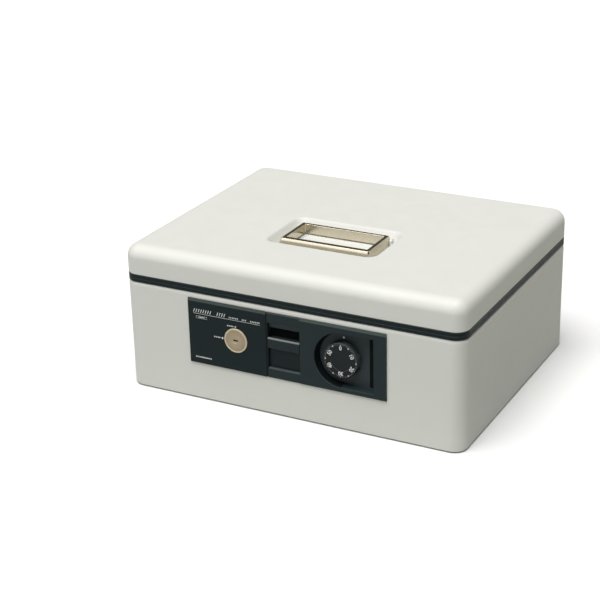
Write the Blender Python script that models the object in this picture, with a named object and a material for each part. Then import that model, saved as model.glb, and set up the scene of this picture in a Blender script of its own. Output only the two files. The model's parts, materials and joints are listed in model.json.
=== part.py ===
"""Portable steel document box with a key lock, a dial lock and a fold-down handle.

Metres, +Z up.  The front faces -Y and the origin is on the floor, under the middle of the box.
Each object is one piece of the real box.  Helper solids that cut or extend a piece are drawn as
wires and hidden from renders.
"""
import math

import bmesh
import bpy
from mathutils import Matrix, Vector

# ---------------------------------------------------------------- driving dimensions (metres)
GAP = 0.0003                 # between pieces that touch
FIT = 0.00015                # around pins in their holes

WIDTH = 0.360
HEIGHT = 0.150
SHEET = 0.0012               # steel of body and lid
FRONT_FACE = -0.1405         # outer face of the body's front wall
REAR_FACE = 0.1395           # outer face of its rear wall
CORNER_RADIUS = 0.014
LID_FILLET = 0.013

FOOT_HEIGHT = 0.002
BODY_TOP = 0.113
BAND_TOP = 0.1208
LID_BOTTOM = BAND_TOP + GAP
LIP_TOP = 0.125
LIP_BOTTOM = 0.1072
LIP_INSET = 0.0018
LIP_INNER = 0.0033

# handle pocket in the lid, at the lid's top and at its floor
POCKET_HALF_WIDTH = 0.060
POCKET_FRONT = -0.0700
POCKET_REAR = 0.0
POCKET_FLOOR = 0.1385
POCKET_SLOPE = 0.006
POCKET_RADIUS = 0.008

HANDLE_HALF_WIDTH = 0.049
HANDLE_FRONT = -0.0600
HANDLE_REAR = -0.0090
HANDLE_BAR = 0.0052
HANDLE_TOP = 0.1497
HANDLE_BOTTOM = 0.1400
HANDLE_AXIS = Vector((0.0, -0.0117, 0.1448))
HANDLE_PIN_RADIUS = 0.0015

HINGE_AXIS = Vector((0.0, 0.1403, 0.1210))
HINGE_RADIUS = 0.0022
HINGE_PIN_RADIUS = 0.0011
HINGE_LENGTH = 0.050
HINGE_CENTRES = (-0.105, 0.105)
LEAF_FRONT = 0.13965
LEAF_REAR = 0.14045

# lock panel: everything in front of the body's front wall
PANEL_FACE = -0.1419
PANEL_BACK = -0.1408         # rear of the flange that covers the cut-out's edge
PANEL_LEFT = -0.1062
PANEL_RIGHT = 0.1047
PANEL_LOW = 0.040
PANEL_HIGH = 0.108
PANEL_LAP = 0.003            # how far the flange covers the wall
MOULD_BACK = -0.1375
PLATE_RIGHT = -0.0207

BAY_LEFT = -0.0196           # latch bay
BAY_RIGHT = 0.0153
BAY_LOW = 0.049
BAY_HIGH = 0.097
LATCH_STEP = 0.0004          # how far the latch zone lies behind the face
STRIP_DEPTH = 0.0024         # thickness of the panel above and below the latch bay
LATCH_X = (BAY_LEFT + BAY_RIGHT) / 2
LUG_LOW = 0.0880             # lug on the slider's back, which works the hook
LUG_BACK = -0.1270
SLIDER_FRONT = -0.1345
SLIDER_BACK = -0.1325
SLIDER_LOW = 0.0470
SLIDER_HIGH = 0.1043
SLIDER_RIB = 0.0040          # ribs of the panel that guide the slider
FENCE_LUG_LEFT = 0.0110      # second lug, which the fence lever stops
FENCE_LUG_RIGHT = 0.0145
GUIDE_LOW = 0.0440
GUIDE_HIGH = 0.1040
GUIDE_SHEET = 0.0010
SHELF_TOP = GUIDE_LOW + 0.0150
GRIP_LOW = 0.071
GRIP_HIGH = 0.0816

DIAL = Vector((0.0579, 0.0, 0.0721))
DIAL_RECESS_RADIUS = 0.0277
DIAL_RECESS_RIGHT = 0.0917
DIAL_RECESS_LEAN = 0.0022    # how much narrower the recess is at its floor
DIAL_CUP_LEFT = 0.0239
DIAL_FLOOR = -0.1339
DIAL_CUP_BACK = -0.1315
DIAL_RADIUS = 0.0180
DIAL_RIBS = 40
DIAL_RIB_DEPTH = 0.00035
SPINDLE_RADIUS = 0.003

KEY = Vector((-0.0540, 0.0, 0.0717))
KEY_DISC_RADIUS = 0.0125
KEY_FRONT = -0.1425
KEY_BARREL_RADIUS = 0.0095
KEY_PLUG_RADIUS = 0.0060
KEY_SEAT_RADIUS = 0.0112     # recess in the cylinder for the plug's face
KEY_SEAT_DEPTH = 0.0010
KEY_TAIL_RADIUS = 0.0030     # end of the plug that carries the cam

COVER_LEFT = -0.112
COVER_RIGHT = 0.110
COVER_LOW = 0.038
COVER_HIGH = 0.1065
COVER_FRONT = -0.1390
COVER_BACK = -0.1030
COVER_SHEET = 0.001
SCREW_RADIUS = 0.0012

KEEPER_FRONT = -0.1130
KEEPER_BACK = -0.1115
KEEPER_LOW = 0.0925
KEEPER_HIGH = 0.1342
KEEPER_HALF_WIDTH = 0.010
HOOK_AXIS = Vector((0.0, -0.1180, 0.0830))
HOOK_PIN_RADIUS = 0.0015
FENCE_AXIS = Vector((0.0940, 0.0, 0.0960))
FENCE_PIN_RADIUS = 0.0015

WHEEL_RADIUS = 0.0150
WHEEL_THICK = 0.0012
WHEEL_FRONTS = (-0.1265, -0.1230, -0.1195)
POST_RADIUS = 0.0050

TRAY_HALF_WIDTH = 0.170
TRAY_FRONT = -0.098
TRAY_REAR = 0.132
TRAY_LOW = 0.0643
TRAY_HIGH = 0.102
TRAY_WALL = 0.002
RAIL_FRONT = -0.085
RAIL_REAR = 0.120

ROUND_STEPS = 32
CORNER_STEPS = 7
SMALL_STEPS = 16             # sides of screws, thin pins and their holes
THROUGH = (-0.150, -0.095)   # span of cutters that go through the lock from front to back
ACROSS = (-0.100, 0.100)     # span of cutters that go through a piece from side to side


# ---------------------------------------------------------------- materials
def make_material(name, colour, roughness, metallic):
    material = bpy.data.materials.new(name)
    material.use_nodes = True
    shader = material.node_tree.nodes["Principled BSDF"]
    shader.inputs["Base Color"].default_value = (*colour, 1.0)
    shader.inputs["Roughness"].default_value = roughness
    shader.inputs["Metallic"].default_value = metallic
    return material


FINISHES = {
    "paint": ((0.74, 0.75, 0.71), 0.42, 0.0),
    "black_plastic": ((0.022, 0.028, 0.032), 0.40, 0.0),
    "dial_plastic": ((0.018, 0.021, 0.023), 0.45, 0.0),
    "grey_plastic": ((0.20, 0.21, 0.21), 0.50, 0.0),
    "brass": ((0.62, 0.50, 0.34), 0.30, 1.0),
    "nickel": ((0.66, 0.61, 0.52), 0.25, 1.0),
    "zinc": ((0.62, 0.63, 0.64), 0.40, 1.0),
    "spring_steel": ((0.45, 0.45, 0.46), 0.35, 1.0),
    "rubber": ((0.03, 0.03, 0.03), 0.80, 0.0),
}


# ---------------------------------------------------------------- outlines and solids
def rounded_rectangle(low, high, radius, steps=CORNER_STEPS):
    """Corner arcs of a rectangle, anticlockwise; low and high are its opposite corners."""
    centres = (
        (high[0] - radius, high[1] - radius),
        (low[0] + radius, high[1] - radius),
        (low[0] + radius, low[1] + radius),
        (high[0] - radius, low[1] + radius),
    )
    points = []
    for quarter, (a, b) in enumerate(centres):
        for step in range(steps + 1):
            turn = math.pi / 2 * (quarter + step / steps)
            points.append((a + radius * math.cos(turn), b + radius * math.sin(turn)))
    return points


def rectangle(low, high):
    return [(low[0], low[1]), (high[0], low[1]), (high[0], high[1]), (low[0], high[1])]


def circle(centre, radius, steps=ROUND_STEPS):
    turns = [2 * math.pi * step / steps for step in range(steps)]
    return [(centre[0] + radius * math.cos(t), centre[1] + radius * math.sin(t)) for t in turns]


def case_outline(inset):
    """Plan outline of the box, pulled in on every side by inset."""
    low = (-WIDTH / 2 + inset, FRONT_FACE + inset)
    high = (WIDTH / 2 - inset, REAR_FACE - inset)
    return rounded_rectangle(low, high, CORNER_RADIUS - inset)


def along(axis, a, b, depth):
    """Point with in-plane coordinates a, b and position depth along the named axis."""
    return {"X": (depth, a, b), "Y": (a, depth, b), "Z": (a, b, depth)}[axis]


def finish_mesh(name, mesh_builder, finish, helper=False, smooth=35.0):
    bmesh.ops.recalc_face_normals(mesh_builder, faces=mesh_builder.faces)
    mesh = bpy.data.meshes.new(name)
    mesh_builder.to_mesh(mesh)
    mesh_builder.free()
    mesh.shade_smooth()
    mesh.set_sharp_from_angle(angle=math.radians(smooth))
    piece = bpy.data.objects.new(name, mesh)
    bpy.context.scene.collection.objects.link(piece)
    if helper:
        piece.hide_render = True
        piece.display_type = "WIRE"
    else:
        mesh.materials.append(make_material(name, *FINISHES[finish]))
    return piece


def lofted(name, loops, finish="paint", helper=False, ring=False):
    """Solid through equal-sized loops of 3-D points: end caps, or closed round on itself."""
    builder = bmesh.new()
    rings = [[builder.verts.new(point) for point in loop] for loop in loops]
    pairs = list(zip(rings, rings[1:]))
    if ring:
        pairs.append((rings[-1], rings[0]))
    else:
        builder.faces.new(rings[0])
        builder.faces.new(rings[-1])
    for lower, upper in pairs:
        for index in range(len(lower)):
            after = (index + 1) % len(lower)
            builder.faces.new((lower[index], lower[after], upper[after], upper[index]))
    return finish_mesh(name, builder, finish, helper)


def prism(name, outline, low, high, axis="Z", finish="paint", helper=False):
    loops = [[along(axis, a, b, depth) for a, b in outline] for depth in (low, high)]
    return lofted(name, loops, finish, helper)


def block(name, low, high, finish="paint", helper=False):
    return prism(name, rectangle(low[:2], high[:2]), low[2], high[2], "Z", finish, helper)


def turned(name, profile, centre, axis="Y", finish="zinc", helper=False, ring=False, steps=ROUND_STEPS):
    """Round solid from (radius, position along the axis) pairs; ring joins the last to the first."""
    flat = {"X": (centre[1], centre[2]), "Y": (centre[0], centre[2]), "Z": (centre[0], centre[1])}[axis]
    loops = [[along(axis, a, b, depth) for a, b in circle(flat, radius, steps)] for radius, depth in profile]
    return lofted(name, loops, finish, helper, ring)


def blocks(name, corners):
    """One helper made of several separate boxes."""
    builder = bmesh.new()
    for low, high in corners:
        size = [b - a for a, b in zip(low, high)]
        middle = [(a + b) / 2 for a, b in zip(low, high)]
        place = Matrix.Translation(middle) @ Matrix.Diagonal((*size, 1.0))
        bmesh.ops.create_cube(builder, size=1.0, matrix=place)
    return finish_mesh(name, builder, "paint", helper=True)


def bore(name, radius, centre, axis="Y", span=THROUGH, steps=ROUND_STEPS):
    """Round cutter between span's two ends along the named axis."""
    return turned(name, [(radius, depth) for depth in span], centre, axis, helper=True, steps=steps)


def combine(piece, helper, operation):
    modifier = piece.modifiers.new(helper.name, "BOOLEAN")
    modifier.operation = operation
    modifier.object = helper
    modifier.solver = "EXACT"
    return piece


def cut(piece, *helpers):
    for helper in helpers:
        combine(piece, helper, "DIFFERENCE")
    return piece


def add(piece, *helpers):
    for helper in helpers:
        combine(piece, helper, "UNION")
    return piece


def set_origin(piece, point):
    """Move the piece's origin to point, on its joint's axis, and leave its shape where it is."""
    piece.data.transform(Matrix.Translation(-Vector(point)))
    piece.location = point


def set_moving(piece, point, *helpers):
    """Origin on the joint's axis, with the helpers that shape the piece carried along."""
    set_origin(piece, point)
    for helper in helpers:
        helper.parent = piece
        helper.matrix_parent_inverse = Matrix.Translation(-Vector(point))


# ---------------------------------------------------------------- body
def build_body_shell():
    edge = 0.0009
    levels = (
        (FOOT_HEIGHT, edge), (FOOT_HEIGHT + edge / 3, edge / 3), (FOOT_HEIGHT + edge, 0.0),
        (BODY_TOP - edge, 0.0), (BODY_TOP - edge / 3, edge / 4), (BODY_TOP, edge * 2 / 3),
    )
    body = lofted("body_shell", [[(x, y, z) for x, y in case_outline(i)] for z, i in levels])
    inside = prism("body_inside", case_outline(SHEET), FOOT_HEIGHT + SHEET, BODY_TOP + SHEET, helper=True)
    opening = block(
        "panel_cut_out",
        (PANEL_LEFT + PANEL_LAP - GAP, FRONT_FACE - SHEET, PANEL_LOW + PANEL_LAP - GAP),
        (PANEL_RIGHT - PANEL_LAP + GAP, FRONT_FACE + 2 * SHEET, PANEL_HIGH - PANEL_LAP + GAP),
        helper=True,
    )
    cut(body, inside, opening)


def build_rim_frame():
    section = (
        (0.0, BODY_TOP + GAP), (0.0, BAND_TOP), (LIP_INSET, BAND_TOP), (LIP_INSET, LIP_TOP),
        (LIP_INNER, LIP_TOP), (LIP_INNER, LIP_BOTTOM), (SHEET + GAP, LIP_BOTTOM),
        (SHEET + GAP, BODY_TOP + GAP),
    )
    loops = [[(x, y, z) for x, y in case_outline(inset)] for inset, z in section]
    frame = lofted("rim_frame", loops, "black_plastic", ring=True)
    half = HINGE_LENGTH / 2 + 2 * GAP
    below = HINGE_AXIS.z - HINGE_RADIUS - 2 * GAP
    notches = [
        ((x - half, REAR_FACE - LIP_INSET + GAP / 3, below), (x + half, REAR_FACE + SHEET, LIP_TOP))
        for x in HINGE_CENTRES
    ]
    cut(frame, blocks("rim_notches", notches))


def build_feet():
    places = {"front_left": (-1, -1), "front_right": (1, -1), "rear_left": (-1, 1), "rear_right": (1, 1)}
    middle = (FRONT_FACE + REAR_FACE) / 2
    profile = ((0.0078, 0.0), (0.0085, 0.0007), (0.0085, FOOT_HEIGHT - GAP))
    for name, (side, end) in places.items():
        centre = (side * 0.150, middle + end * 0.112, 0.0)
        turned("foot_" + name, profile, centre, "Z", "rubber", steps=24)


def build_tray_rails():
    """Angle strips on the side walls: a thin flange against the wall and a ledge under the tray."""
    ledge = 0.0085
    drop = 0.012
    sheet = 0.001
    top = TRAY_LOW - GAP
    outer = WIDTH / 2 - SHEET - GAP
    for name, side in (("tray_rail_left", -1), ("tray_rail_right", 1)):
        section = [
            (side * outer, top), (side * outer, top - drop), (side * (outer - sheet), top - drop),
            (side * (outer - sheet), top - sheet), (side * (outer - ledge), top - sheet),
            (side * (outer - ledge), top),
        ]
        prism(name, section, RAIL_FRONT, RAIL_REAR, "Y", "zinc")


# ---------------------------------------------------------------- lock panel
def flange_section():
    """End view of the panel's flange: a flat face with a chamfer along its top."""
    chamfer = 0.0030
    return [
        (PANEL_BACK, PANEL_LOW), (PANEL_FACE, PANEL_LOW), (PANEL_FACE, PANEL_HIGH - chamfer),
        (PANEL_BACK - GAP, PANEL_HIGH), (PANEL_BACK, PANEL_HIGH),
    ]


def moulding(name, left, right, front, back):
    """Block behind the flange, as high as the cut-out in the body's wall."""
    low = (left, front, PANEL_LOW + PANEL_LAP)
    high = (right, back, PANEL_HIGH - PANEL_LAP)
    return block(name, low, high, helper=True)


def recess_outline(radius, right):
    """Dial bay: a round left end that runs into a square right end."""
    turns = [math.pi / 2 + math.pi * step / 20 for step in range(21)]
    arc = [(DIAL.x + radius * math.cos(t), DIAL.z + radius * math.sin(t)) for t in turns]
    return arc + [(right, DIAL.z - radius), (right, DIAL.z + radius)]


def panel_additions():
    """Mouldings behind the flange, the dial's cup and the two ribs that guide the slider."""
    left = PANEL_LEFT + PANEL_LAP
    right = PANEL_RIGHT - PANEL_LAP
    overlap = 0.002
    ribs = [
        moulding("slider_rib_%d" % index, start, start + SLIDER_RIB, MOULD_BACK - GAP, SLIDER_BACK)
        for index, start in enumerate((BAY_LEFT - SLIDER_RIB, BAY_RIGHT))
    ]
    return [
        moulding("mould_left", left, BAY_LEFT + overlap, PANEL_BACK + GAP, MOULD_BACK),
        moulding("mould_right", BAY_LEFT, right, PANEL_BACK - GAP, MOULD_BACK),
        moulding("dial_cup", DIAL_CUP_LEFT, right, MOULD_BACK - GAP, DIAL_CUP_BACK),
        *ribs,
    ]


def dial_recess():
    levels = ((PANEL_FACE - SHEET, 0.0), (PANEL_FACE, 0.0), (DIAL_FLOOR, DIAL_RECESS_LEAN))
    loops = []
    for depth, lean in levels:
        outline = recess_outline(DIAL_RECESS_RADIUS - lean, DIAL_RECESS_RIGHT - lean)
        loops.append([(x, depth, z) for x, z in outline])
    return lofted("dial_recess", loops, helper=True)


def latch_openings():
    """Bay for the grip, channel for the slider behind it, and the step in the face round them."""
    front, back = THROUGH
    lap = PANEL_LAP - GAP
    return [
        block("latch_bay", (BAY_LEFT, front, BAY_LOW), (BAY_RIGHT, back, BAY_HIGH), helper=True),
        block("slider_channel", (BAY_LEFT, PANEL_FACE + STRIP_DEPTH, PANEL_LOW + lap),
              (BAY_RIGHT, back, PANEL_HIGH - lap), helper=True),
        block("latch_zone_step", (BAY_LEFT - GAP, front, PANEL_LOW - GAP),
              (BAY_RIGHT, PANEL_FACE + LATCH_STEP, PANEL_HIGH + GAP), helper=True),
    ]


def build_lock_panel():
    panel = prism("lock_panel", flange_section(), BAY_LEFT, PANEL_RIGHT, "X", "black_plastic")
    screw_span = (-0.1395, THROUGH[1])
    holes = [
        bore("panel_bore_%d" % index, 0.0014, place, span=screw_span, steps=SMALL_STEPS)
        for index, place in enumerate(cover_screw_places(), 1)
    ]
    holes.append(bore("spindle_hole", SPINDLE_RADIUS + 2 * FIT, DIAL))
    holes.append(bore("cylinder_hole", KEY_BARREL_RADIUS + GAP, KEY))
    add(panel, *panel_additions())
    cut(panel, dial_recess(), *latch_openings(), *holes)


def build_name_plate():
    plate = prism("name_plate", flange_section(), PANEL_LEFT, PLATE_RIGHT, "X", "black_plastic")
    cut(plate, bore("plate_hole", KEY_DISC_RADIUS + GAP, KEY))


def cover_screw_places():
    """Two screws in the left part of the moulding and two in its right part."""
    high = PANEL_HIGH - PANEL_LAP - 0.004
    low = PANEL_LOW + PANEL_LAP + 0.004
    left = PANEL_LEFT + PANEL_LAP + 0.005
    right = PANEL_RIGHT - PANEL_LAP - 0.004
    return [Vector((x, 0.0, z)) for x in (left, right) for z in (low, high)]


def build_lock_cover():
    """Pressed tray over the back of the lock, open to the front, with a slot for the keeper."""
    corner = 0.003
    low, high = (COVER_LEFT, COVER_LOW), (COVER_RIGHT, COVER_HIGH)
    inner_low = (COVER_LEFT + COVER_SHEET, COVER_LOW + COVER_SHEET)
    inner_high = (COVER_RIGHT - COVER_SHEET, COVER_HIGH - COVER_SHEET)
    outline = rounded_rectangle(low, high, corner, 4)
    inner = rounded_rectangle(inner_low, inner_high, corner - COVER_SHEET, 4)
    cover = prism("lock_cover", outline, COVER_FRONT, COVER_BACK, "Y", "zinc")
    hollow = prism("cover_inside", inner, COVER_FRONT - SHEET, COVER_BACK - COVER_SHEET, "Y", helper=True)
    half = KEEPER_HALF_WIDTH + 0.003
    slot = block("keeper_slot", (LATCH_X - half, KEEPER_FRONT - 0.009, COVER_HIGH - 0.004),
                 (LATCH_X + half, KEEPER_BACK + 0.003, COVER_HIGH + 0.004), helper=True)
    holes = [
        bore("cover_hole_%d" % index, SCREW_RADIUS + 0.0005, place, steps=SMALL_STEPS)
        for index, place in enumerate(cover_screw_places(), 1)
    ]
    cut(cover, hollow, slot, *holes)


def build_cover_screws():
    tip = 0.0008
    tip_front = -0.1390
    head = COVER_BACK + GAP
    profile = (
        (SCREW_RADIUS - 0.0004, tip_front), (SCREW_RADIUS, tip_front + tip), (SCREW_RADIUS, head),
        (0.0030, head), (0.0030, head + 0.0008), (0.0018, head + 0.0018),
    )
    for index, place in enumerate(cover_screw_places(), 1):
        screw = turned("cover_screw_%d" % index, profile, place, steps=SMALL_STEPS)
        drive_low = (place.x - 0.0016, head + 0.0011, place.z - 0.0003)
        drive_high = (place.x + 0.0016, head + 0.0030, place.z + 0.0003)
        cut(screw, block("screw_drive_%d" % index, drive_low, drive_high, helper=True))


# ---------------------------------------------------------------- key lock
def build_key_cylinder():
    """Disc on the name plate with a round seat for the plug's face, and a barrel behind it."""
    edge = KEY_DISC_RADIUS
    clear = KEY_PLUG_RADIUS + FIT
    seat_floor = KEY_FRONT + KEY_SEAT_DEPTH
    tail = -0.1190
    profile = (
        (edge, PANEL_BACK), (edge, KEY_FRONT + 0.0002), (edge - 0.0003, KEY_FRONT),
        (KEY_SEAT_RADIUS, KEY_FRONT), (KEY_SEAT_RADIUS, seat_floor), (clear, seat_floor), (clear, tail),
        (KEY_BARREL_RADIUS, tail), (KEY_BARREL_RADIUS, PANEL_BACK),
    )
    turned("key_cylinder", profile, KEY, "Y", "nickel", ring=True)


def build_cylinder_nut():
    back = MOULD_BACK + GAP
    hexagon = circle((KEY.x, KEY.z), 0.0135, 6)
    nut = prism("cylinder_nut", hexagon, back, back + 0.0035, "Y", "zinc")
    cut(nut, bore("nut_hole", KEY_BARREL_RADIUS + FIT, KEY))


def build_key_plug():
    """Wide round face with the key slit, a stem through the cylinder and a tail for the cam."""
    face = KEY_FRONT + 0.0001
    seat = KEY_SEAT_RADIUS - GAP
    shoulder = KEY_FRONT + KEY_SEAT_DEPTH - GAP
    stem_end = -0.1187
    tail_end = -0.1150
    profile = (
        (seat - 0.0002, face), (seat, face + 0.0002), (seat, shoulder), (KEY_PLUG_RADIUS, shoulder),
        (KEY_PLUG_RADIUS, stem_end), (KEY_TAIL_RADIUS, stem_end), (KEY_TAIL_RADIUS, tail_end),
    )
    plug = turned("key_plug", profile, KEY, "Y", "brass")
    wide, tall = 0.0030, 0.0005
    slit = block("key_slit", (KEY.x - wide, THROUGH[0], KEY.z - tall), (KEY.x + wide, -0.122, KEY.z + tall),
                 helper=True)
    cut(plug, slit)
    set_moving(plug, (KEY.x, KEY_FRONT, KEY.z), slit)


def build_key_cam():
    """Arm on the plug's tail; when locked it points at the latch."""
    reach = 0.028
    half = 0.0045
    tip = half * 0.6
    turns = [math.pi / 2 + math.pi * step / 10 for step in range(11)]
    outline = [(KEY.x + half * math.cos(t), KEY.z + half * math.sin(t)) for t in turns]
    outline += [(KEY.x + reach, KEY.z - tip), (KEY.x + reach, KEY.z + tip)]
    cam = prism("key_cam", outline, -0.1182, -0.1167, "Y", "zinc")
    hole = bore("cam_hole", KEY_TAIL_RADIUS + FIT, KEY, steps=24)
    cut(cam, hole)
    set_moving(cam, (KEY.x, KEY_FRONT, KEY.z), hole)


# ---------------------------------------------------------------- latch
def build_latch_slider():
    """Side view: a carrier plate, a finger grip that stands forward and a skirt below it."""
    side = 0.0006
    grip_front = PANEL_FACE + 0.0002
    skirt_front = PANEL_FACE + 0.0034
    section = [
        (SLIDER_BACK, SLIDER_LOW), (skirt_front, SLIDER_LOW), (skirt_front, GRIP_LOW - 0.0010),
        (grip_front, GRIP_LOW), (grip_front, GRIP_HIGH - 0.0012), (grip_front + 0.0010, GRIP_HIGH),
        (SLIDER_FRONT, GRIP_HIGH - 0.0015), (SLIDER_FRONT, SLIDER_HIGH), (SLIDER_BACK, SLIDER_HIGH),
    ]
    slider = prism("latch_slider", section, BAY_LEFT + side, BAY_RIGHT - side, "X", "black_plastic")
    front = SLIDER_BACK - GAP
    hook_lug = block("hook_lug", (LATCH_X - 0.0035, front, LUG_LOW),
                     (LATCH_X + 0.0105, LUG_BACK, LUG_LOW + 0.006), helper=True)
    fence_lug = block("fence_lug", (FENCE_LUG_LEFT, front, 0.1005),
                      (FENCE_LUG_RIGHT, LUG_BACK - 2 * GAP, 0.1035), helper=True)
    add(slider, hook_lug, fence_lug)


def build_latch_guide():
    """Sheet behind the slider, with a shelf for the spring and openings for the slider's two lugs."""
    front = SLIDER_BACK + GAP
    back = front + GUIDE_SHEET
    left, right = BAY_LEFT - SLIDER_RIB, BAY_RIGHT + SLIDER_RIB
    plate = block("latch_guide", (left, front, GUIDE_LOW), (right, back, GUIDE_HIGH), "zinc")
    shelf = block("guide_shelf", (LATCH_X - 0.006, front, SHELF_TOP - GUIDE_SHEET),
                  (LATCH_X + 0.006, -0.1240, SHELF_TOP), helper=True)
    slot = block("guide_slot", (LATCH_X - 0.0040, front - SHEET, 0.0800),
                 (LATCH_X + 0.0110, back + SHEET, 0.0946), helper=True)
    notch = block("guide_notch", (FENCE_LUG_LEFT - 0.0004, front - SHEET, 0.0930),
                  (FENCE_LUG_RIGHT + 0.0005, back + SHEET, GUIDE_HIGH + 0.002), helper=True)
    add(plate, shelf)
    cut(plate, slot, notch)


def build_latch_spring():
    """Coil between the guide's shelf and the slider's lug."""
    wire = 0.0003
    low = SHELF_TOP + 2 * GAP + wire
    high = LUG_LOW - 2 * GAP - wire
    radius = 0.0018
    turns = 7
    per_turn = 9
    axis_y = -0.1290
    coil = bpy.data.curves.new("latch_spring", "CURVE")
    coil.dimensions = "3D"
    coil.bevel_depth = wire
    coil.bevel_resolution = 0
    coil.use_fill_caps = True
    count = turns * per_turn + 1
    spline = coil.splines.new("POLY")
    spline.points.add(count - 1)
    for index, point in enumerate(spline.points):
        turn = 2 * math.pi * index / per_turn
        height = low + (high - low) * index / (count - 1)
        point.co = (LATCH_X + radius * math.cos(turn), axis_y + radius * math.sin(turn), height, 1.0)
    spring = bpy.data.objects.new("latch_spring", coil)
    bpy.context.scene.collection.objects.link(spring)
    coil.materials.append(make_material("latch_spring", *FINISHES["spring_steel"]))


def build_latch_hook():
    """Bell crank: its front arm lies under the slider's lug and its top carries the nose."""
    y, z = HOOK_AXIS.y, HOOK_AXIS.z
    nose = KEEPER_FRONT - 0.0012
    outline = [
        (y - 0.0120, z + 0.0010), (y - 0.0030, z - 0.0030), (y, z - 0.0040), (y + 0.0028, z - 0.0028),
        (y + 0.0035, z), (y + 0.0020, z + 0.0140), (nose, z + 0.0140), (nose, z + 0.0160),
        (nose - 0.0012, z + 0.0190), (y - 0.0010, z + 0.0190), (y - 0.0025, z + 0.0030),
        (y - 0.0090, z + 0.0024), (y - 0.0120, z + 0.0040),
    ]
    hook = prism("latch_hook", outline, LATCH_X + 0.0045, LATCH_X + 0.0075, "X", "zinc")
    hole = bore("hook_hole", HOOK_PIN_RADIUS + FIT, HOOK_AXIS, "X", ACROSS, SMALL_STEPS)
    cut(hook, hole)
    set_moving(hook, HOOK_AXIS, hole)


def build_hook_bracket():
    """U-shaped bracket that carries the hook's pin, fixed to the cover's back wall."""
    y, z = HOOK_AXIS.y, HOOK_AXIS.z
    sheet = 0.001
    back = COVER_BACK - COVER_SHEET - GAP
    left = LATCH_X + 0.0030
    right = LATCH_X + 0.0090
    base_low = (left - sheet, back - sheet, z - 0.006)
    base_high = (right + sheet, back, z + 0.006)
    base = block("hook_bracket", base_low, base_high, "zinc")
    ears = blocks("bracket_ears", [
        ((start, y - 0.0035, z - 0.0045), (start + sheet, back - sheet / 2, z + 0.0045))
        for start in (left - sheet, right)
    ])
    add(base, ears)
    cut(base, bore("bracket_hole", HOOK_PIN_RADIUS + FIT, HOOK_AXIS, "X", ACROSS, SMALL_STEPS))
    pin = ((HOOK_PIN_RADIUS, left - 0.0015), (HOOK_PIN_RADIUS, right + 0.0015))
    turned("hook_pin", pin, HOOK_AXIS, "X", "zinc", steps=SMALL_STEPS)


def build_keeper():
    """Strap that hangs from the lid; the hook's nose goes through its window."""
    left, right = LATCH_X - KEEPER_HALF_WIDTH, LATCH_X + KEEPER_HALF_WIDTH
    strap = block("keeper", (left, KEEPER_FRONT, KEEPER_LOW), (right, KEEPER_BACK, KEEPER_HIGH), "zinc")
    foot = block("keeper_foot", (left, KEEPER_FRONT, KEEPER_HIGH - 0.0015), (right, -0.100, KEEPER_HIGH),
                 helper=True)
    window = block("keeper_window", (LATCH_X + 0.0005, KEEPER_FRONT - SHEET, 0.0958),
                   (LATCH_X + 0.0080, KEEPER_BACK + SHEET, 0.1006), helper=True)
    add(strap, foot)
    cut(strap, window)


# ---------------------------------------------------------------- dial lock
def ribbed_circle(radius, depth, ribs):
    """Circle round the dial's axis; a ribbed one has every second point pulled in."""
    loop = []
    for step, (a, b) in enumerate(circle((0.0, 0.0), 1.0, 2 * DIAL_RIBS)):
        reach = radius - (DIAL_RIB_DEPTH if ribs and step % 2 else 0.0)
        loop.append((DIAL.x + reach * a, depth, DIAL.z + reach * b))
    return loop


def build_dial_knob():
    """Knob with a finely ribbed skirt between two plain edges."""
    face = PANEL_FACE + GAP
    back = DIAL_FLOOR - GAP
    plain = DIAL_RADIUS - 0.0006
    loops = [
        ribbed_circle(plain, back, False), ribbed_circle(DIAL_RADIUS, back - 0.0004, True),
        ribbed_circle(DIAL_RADIUS, face + 0.0009, True), ribbed_circle(plain, face, False),
    ]
    knob = lofted("dial_knob", loops, "dial_plastic")
    hole = bore("knob_hole", SPINDLE_RADIUS + FIT, DIAL, span=(face + 0.002, THROUGH[1]), steps=24)
    cut(knob, hole)
    set_moving(knob, (DIAL.x, face, DIAL.z), hole)


def build_dial_works():
    """Spindle in a fixed post; the wheels ride on the post and the cam on the spindle's end."""
    spindle = ((SPINDLE_RADIUS, PANEL_FACE + 0.0026), (SPINDLE_RADIUS, -0.1075))
    turned("dial_spindle", spindle, DIAL, steps=24)
    clear = SPINDLE_RADIUS + FIT
    front = DIAL_CUP_BACK + GAP
    flange = front + 0.0012
    tail = -0.1140
    post = (
        (clear, front), (0.0090, front), (0.0090, flange), (POST_RADIUS, flange), (POST_RADIUS, tail),
        (clear, tail),
    )
    turned("wheel_post", post, DIAL, ring=True, steps=24)
    for index, wheel_front in enumerate(WHEEL_FRONTS, 1):
        build_wheel("combination_wheel_%d" % index, wheel_front, POST_RADIUS + FIT, WHEEL_THICK, "brass")
    build_wheel("drive_cam", tail + 2 * GAP, clear, 0.0018, "zinc")


def build_wheel(name, front, inner, thick, finish):
    """Disc with a square gate in its rim and a round hole."""
    half_gate = 0.0018
    gate_depth = 0.0035
    profile = ((inner, front), (WHEEL_RADIUS, front), (WHEEL_RADIUS, front + thick), (inner, front + thick))
    wheel = turned(name, profile, DIAL, finish=finish, ring=True)
    top = DIAL.z + WHEEL_RADIUS
    gate = block(name + "_gate", (DIAL.x - half_gate, front - thick, top - gate_depth),
                 (DIAL.x + half_gate, front + 2 * thick, top + half_gate), helper=True)
    cut(wheel, gate)
    set_moving(wheel, (DIAL.x, front, DIAL.z), gate)


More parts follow.
